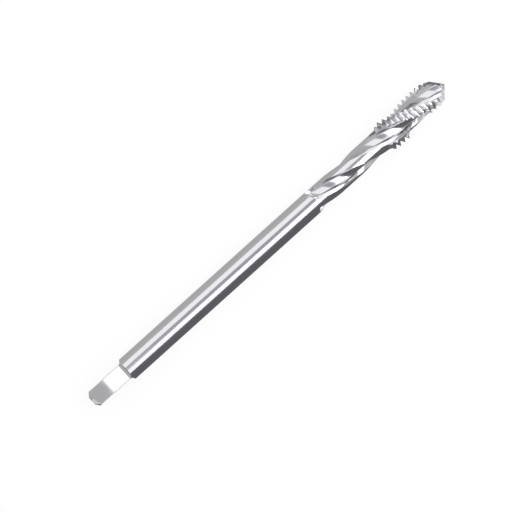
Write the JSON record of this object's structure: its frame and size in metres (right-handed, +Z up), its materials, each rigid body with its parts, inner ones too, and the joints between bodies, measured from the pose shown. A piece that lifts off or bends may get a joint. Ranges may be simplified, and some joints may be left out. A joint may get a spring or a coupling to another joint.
{
  "type": "thread tap",
  "caption": "Machine tap with right-hand spiral flutes, short tapered lead, pointed male centre, reduced ground shank and square drive end.",
  "frame": {"origin": "on the surface that the tap lies on, below the middle of its length", "axes": "+X along the axis towards the point, +Z up, with one flat of the square drive facing up"},
  "size_m": [0.084, 0.006, 0.006],
  "materials": {
    "ground_steel": "bright ground high-speed steel"
  },
  "bodies": {
    "root": {"thread_tap": "ground_steel"}
  },
  "joints": []
}
